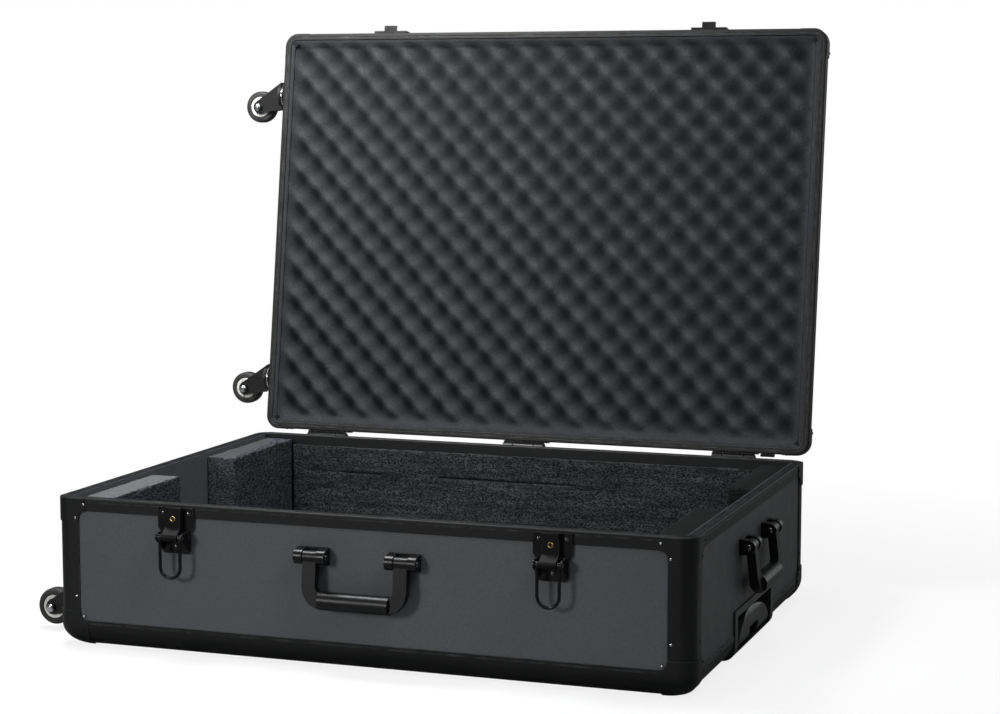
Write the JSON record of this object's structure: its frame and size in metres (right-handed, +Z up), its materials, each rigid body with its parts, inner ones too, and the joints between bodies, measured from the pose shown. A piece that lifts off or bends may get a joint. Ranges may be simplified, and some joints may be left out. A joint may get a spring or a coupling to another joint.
{
  "type": "rolling art supply case",
  "caption": "Large foam-lined rolling case standing open, with a hinged lid, draw latches, two folding carry handles, a pull-out trolley handle and swivel casters on one end.",
  "frame": {"origin": "centre of the base's footprint, on the floor plane that its bottom panel rests on", "axes": "+X towards the end with the pull-out handle, -X the end with the casters, -Y the front with the latches, +Y the hinges, +Z up"},
  "size_m": [0.8976, 0.744, 0.7692],
  "materials": {
    "laminate": "textured dark grey laminate over board, fine pebble grain",
    "frame_profile": "black anodised aluminium profile, satin",
    "corner_fitting": "black coated pressed steel, slightly glossy",
    "hardware": "black plated steel, glossy",
    "lock_brass": "pale brass key barrel",
    "foam": "charcoal foam, open cell",
    "grip_plastic": "moulded black plastic, satin",
    "caster_plastic": "moulded black plastic",
    "caster_tyre": "black solid rubber tyre on a pale hub"
  },
  "bodies": {
    "base": {"bottom_panel": "laminate", "front_panel": "laminate", "back_panel": "laminate", "left_panel": "laminate", "right_panel": "laminate", "bottom_frame": "frame_profile", "rim_frame": "frame_profile", "corner_post_front_left": "frame_profile", "corner_cap_front_left": "corner_fitting", "corner_post_front_right": "frame_profile", "corner_cap_front_right": "corner_fitting", "corner_post_back_right": "frame_profile", "corner_cap_back_right": "corner_fitting", "corner_post_back_left": "frame_profile", "corner_cap_back_left": "corner_fitting", "foam_tray": "foam", "hinge_base_leaf_left": "hardware", "hinge_base_leaf_middle": "hardware", "hinge_base_leaf_right": "hardware", "latch_plate_left": "hardware", "latch_plate_right": "hardware", "front_handle_bracket_a": "hardware", "front_handle_bracket_b": "hardware", "side_handle_bracket_a": "hardware", "side_handle_bracket_b": "hardware", "trolley_housing": "grip_plastic", "caster_base_front_plate": "caster_plastic", "caster_base_back_plate": "caster_plastic"},
    "lid": {"lid_panel": "laminate", "lid_frame": "frame_profile", "lid_corner_front_left": "corner_fitting", "lid_corner_front_right": "corner_fitting", "lid_corner_back_right": "corner_fitting", "lid_corner_back_left": "corner_fitting", "lid_foam": "foam", "hinge_lid_leaf_left": "hardware", "hinge_lid_leaf_middle": "hardware", "hinge_lid_leaf_right": "hardware", "lid_catch_left": "hardware", "lid_catch_right": "hardware", "caster_lid_front_plate": "caster_plastic", "caster_lid_back_plate": "caster_plastic"},
    "latch_lever_left_body": {"latch_lever_left": "hardware"},
    "latch_key_left_body": {"latch_key_left": "lock_brass"},
    "latch_bail_left_body": {"latch_bail_left": "hardware"},
    "latch_lever_right_body": {"latch_lever_right": "hardware"},
    "latch_key_right_body": {"latch_key_right": "lock_brass"},
    "latch_bail_right_body": {"latch_bail_right": "hardware"},
    "front_handle_body": {"front_handle_loop": "grip_plastic"},
    "side_handle_body": {"side_handle_loop": "grip_plastic"},
    "trolley_handle_body": {"trolley_handle": "grip_plastic"},
    "caster_base_front_swivel": {"caster_base_front_fork": "hardware"},
    "caster_base_front_roller": {"caster_base_front_wheel": "caster_tyre"},
    "caster_base_back_swivel": {"caster_base_back_fork": "hardware"},
    "caster_base_back_roller": {"caster_base_back_wheel": "caster_tyre"},
    "caster_lid_front_swivel": {"caster_lid_front_fork": "hardware"},
    "caster_lid_front_roller": {"caster_lid_front_wheel": "caster_tyre"},
    "caster_lid_back_swivel": {"caster_lid_back_fork": "hardware"},
    "caster_lid_back_roller": {"caster_lid_back_wheel": "caster_tyre"}
  },
  "joints": [
    {"name": "lid_hinge", "type": "hinge", "parent": "base", "child": "lid", "pos_m": [0, 0.298, 0.179], "axis": [1, 0, 0], "range_deg": [0, 98.35]},
    {"name": "latch_lever_left_pivot", "type": "hinge", "parent": "base", "child": "latch_lever_left_body", "pos_m": [-0.236, -0.306, 0.147], "axis": [1, 0, 0], "range_deg": [0, 110]},
    {"name": "latch_bail_left_pivot", "type": "hinge", "parent": "base", "child": "latch_bail_left_body", "pos_m": [-0.236, -0.306, 0.147], "axis": [-1, 0, 0], "range_deg": [0, 193]},
    {"name": "latch_key_left_turn", "type": "hinge", "parent": "latch_lever_left_body", "child": "latch_key_left_body", "pos_m": [-0.236, -0.298, 0.168], "axis": [0, 1, 0], "range_deg": [0, 90]},
    {"name": "latch_lever_right_pivot", "type": "hinge", "parent": "base", "child": "latch_lever_right_body", "pos_m": [0.236, -0.306, 0.147], "axis": [1, 0, 0], "range_deg": [0, 110]},
    {"name": "latch_bail_right_pivot", "type": "hinge", "parent": "base", "child": "latch_bail_right_body", "pos_m": [0.236, -0.306, 0.147], "axis": [-1, 0, 0], "range_deg": [0, 193]},
    {"name": "latch_key_right_turn", "type": "hinge", "parent": "latch_lever_right_body", "child": "latch_key_right_body", "pos_m": [0.236, -0.298, 0.168], "axis": [0, 1, 0], "range_deg": [0, 90]},
    {"name": "front_handle_pivot", "type": "hinge", "parent": "base", "child": "front_handle_body", "pos_m": [0, -0.2975, 0.1345], "axis": [-1, 0, 0], "range_deg": [0, 100]},
    {"name": "side_handle_pivot", "type": "hinge", "parent": "base", "child": "side_handle_body", "pos_m": [0.4095, 0, 0.1345], "axis": [0, -1, 0], "range_deg": [0, 100]},
    {"name": "trolley_slide", "type": "slide", "parent": "base", "child": "trolley_handle_body", "axis": [1, 0, 0], "range_m": [0, 0.35]},
    {"name": "caster_base_front_swivel_turn", "type": "hinge", "parent": "base", "child": "caster_base_front_swivel", "pos_m": [-0.4, -0.208, 0.045], "axis": [1, 0, 0], "continuous": true},
    {"name": "caster_base_front_wheel_spin", "type": "hinge", "parent": "caster_base_front_swivel", "child": "caster_base_front_roller", "pos_m": [-0.4485, -0.208, 0.0285], "axis": [0, 1, 0], "continuous": true},
    {"name": "caster_base_back_swivel_turn", "type": "hinge", "parent": "base", "child": "caster_base_back_swivel", "pos_m": [-0.4, 0.208, 0.045], "axis": [1, 0, 0], "continuous": true},
    {"name": "caster_base_back_wheel_spin", "type": "hinge", "parent": "caster_base_back_swivel", "child": "caster_base_back_roller", "pos_m": [-0.4485, 0.208, 0.0285], "axis": [0, 1, 0], "continuous": true},
    {"name": "caster_lid_front_swivel_turn", "type": "hinge", "parent": "lid", "child": "caster_lid_front_swivel", "pos_m": [-0.396, 0.39757, 0.66873], "axis": [1, 0, 0], "continuous": true},
    {"name": "caster_lid_front_wheel_spin", "type": "hinge", "parent": "caster_lid_front_swivel", "child": "caster_lid_front_roller", "pos_m": [-0.4445, 0.39757, 0.65223], "axis": [0, 1, 0], "continuous": true},
    {"name": "caster_lid_back_swivel_turn", "type": "hinge", "parent": "lid", "child": "caster_lid_back_swivel", "pos_m": [-0.396, 0.33716, 0.25714], "axis": [1, 0, 0], "continuous": true},
    {"name": "caster_lid_back_wheel_spin", "type": "hinge", "parent": "caster_lid_back_swivel", "child": "caster_lid_back_roller", "pos_m": [-0.4445, 0.33716, 0.24064], "axis": [0, 1, 0], "continuous": true}
  ]
}
